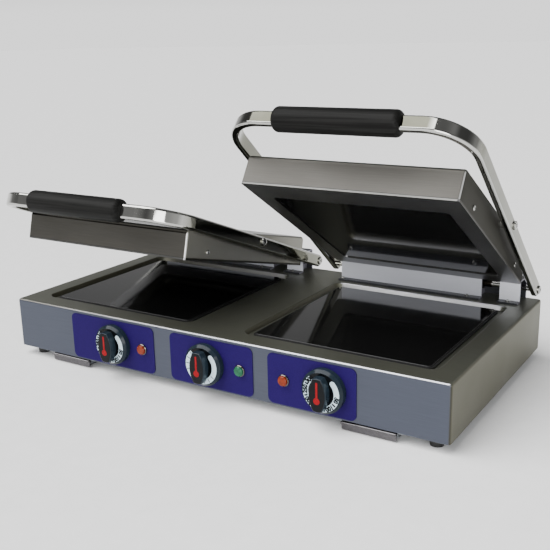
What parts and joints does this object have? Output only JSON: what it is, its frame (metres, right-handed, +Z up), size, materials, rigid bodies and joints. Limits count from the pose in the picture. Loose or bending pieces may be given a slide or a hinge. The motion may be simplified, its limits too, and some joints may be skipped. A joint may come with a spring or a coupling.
{
  "type": "contact grill",
  "caption": "Double contact grill: glass plates in a steel casing, two lids pivoting in U-shaped handles with grips, dials, pilot lamps and slide-out drip trays.",
  "frame": {"origin": "on the table, in the middle between the four feet", "axes": "+X to the user's right along the front, +Y to the rear (hinges), +Z up"},
  "size_m": [0.7028, 0.429, 0.3872],
  "materials": {
    "brushed_stainless": "brushed",
    "folded_stainless": "satin",
    "zinc_plated_sheet": "satin",
    "chromed_tube": "polished",
    "polished_steel": "polished",
    "spindle_steel": "satin",
    "spring_steel": "satin",
    "indigo_panel": "satin",
    "black_knob_plastic": "gloss",
    "dark_grip_plastic": "satin",
    "orange_lens": "gloss",
    "green_lens": "gloss",
    "black_glass_ceramic": "gloss",
    "black_silicone": "matte",
    "white_insulation": "matte",
    "heating_ribbon": "satin",
    "control_body": "satin",
    "black_nylon": "satin",
    "dark_bush": "satin"
  },
  "bodies": {
    "base": {"casing_shell": "brushed_stainless", "bottom_plate": "zinc_plated_sheet", "bottom_plate_screws": "spindle_steel", "feet": "black_silicone", "foot_screws": "spindle_steel", "left_front_panel": "indigo_panel", "middle_front_panel": "indigo_panel", "right_front_panel": "indigo_panel", "left_thermostat": "control_body", "right_thermostat": "control_body", "energy_regulator": "control_body", "lamp_bezels": "polished_steel", "orange_lamp_lenses": "orange_lens", "green_lamp_lens": "green_lens", "left_lower_glass": "black_glass_ceramic", "right_lower_glass": "black_glass_ceramic", "lower_glass_seals": "black_silicone", "left_lower_heater_dish": "white_insulation", "right_lower_heater_dish": "white_insulation", "lower_heating_elements": "heating_ribbon", "drain_spouts": "zinc_plated_sheet", "tray_runners": "zinc_plated_sheet", "cable_gland": "black_nylon", "terminal_block": "control_body", "wide_hinge_brackets": "folded_stainless", "narrow_hinge_brackets": "folded_stainless", "hinge_bracket_screws": "polished_steel", "hinge_bushes": "dark_bush", "left_hinge_spring": "spring_steel", "right_hinge_spring": "spring_steel"},
    "left_tray": {"left_drip_tray": "brushed_stainless"},
    "right_tray": {"right_drip_tray": "brushed_stainless"},
    "left_knob_body": {"left_knob": "black_knob_plastic", "left_knob_spindle": "spindle_steel"},
    "middle_knob_body": {"middle_knob": "black_knob_plastic", "middle_knob_spindle": "spindle_steel"},
    "right_knob_body": {"right_knob": "black_knob_plastic", "right_knob_spindle": "spindle_steel"},
    "left_handle": {"left_handle_tube": "chromed_tube", "left_grip": "dark_grip_plastic", "left_hinge_rod": "polished_steel", "left_rod_screws": "polished_steel"},
    "left_lid": {"left_lid_cover": "brushed_stainless", "left_lid_underframe": "brushed_stainless", "left_upper_glass": "black_glass_ceramic", "left_upper_heater_dish": "white_insulation", "left_upper_heating_element": "heating_ribbon", "left_pivot_pins": "polished_steel", "left_lid_screws": "polished_steel"},
    "right_handle": {"right_handle_tube": "chromed_tube", "right_grip": "dark_grip_plastic", "right_hinge_rod": "polished_steel", "right_rod_screws": "polished_steel"},
    "right_lid": {"right_lid_cover": "brushed_stainless", "right_lid_underframe": "brushed_stainless", "right_upper_glass": "black_glass_ceramic", "right_upper_heater_dish": "white_insulation", "right_upper_heating_element": "heating_ribbon", "right_pivot_pins": "polished_steel", "right_lid_screws": "polished_steel"}
  },
  "joints": [
    {"name": "left_tray_slide", "type": "slide", "parent": "base", "child": "left_tray", "axis": [0, -1, 0], "range_m": [0, 0.25]},
    {"name": "right_tray_slide", "type": "slide", "parent": "base", "child": "right_tray", "axis": [0, -1, 0], "range_m": [0, 0.25]},
    {"name": "left_knob_turn", "type": "hinge", "parent": "base", "child": "left_knob_body", "pos_m": [-0.154, -0.183, 0.05], "axis": [0, 1, 0], "range_deg": [0, 270]},
    {"name": "middle_knob_turn", "type": "hinge", "parent": "base", "child": "middle_knob_body", "pos_m": [0.008, -0.183, 0.05], "axis": [0, 1, 0], "range_deg": [0, 270]},
    {"name": "right_knob_turn", "type": "hinge", "parent": "base", "child": "right_knob_body", "pos_m": [0.189, -0.183, 0.05], "axis": [0, 1, 0], "range_deg": [0, 270]},
    {"name": "left_handle_hinge", "type": "hinge", "parent": "base", "child": "left_handle", "pos_m": [-0.181, 0.168, 0.107], "axis": [-1, 0, 0], "range_deg": [-14.5, 41]},
    {"name": "left_lid_pivot", "type": "hinge", "parent": "left_handle", "child": "left_lid", "pos_m": [-0.181, -0.00267, 0.17583], "axis": [1, 0, 0], "range_deg": [0, 13.7]},
    {"name": "right_handle_hinge", "type": "hinge", "parent": "base", "child": "right_handle", "pos_m": [0.181, 0.168, 0.107], "axis": [-1, 0, 0], "range_deg": [-34.1, 21.4]},
    {"name": "right_lid_pivot", "type": "hinge", "parent": "right_handle", "child": "right_lid", "pos_m": [0.181, 0.03031, 0.2291], "axis": [1, 0, 0], "range_deg": [-2.5, 11.2]}
  ]
}
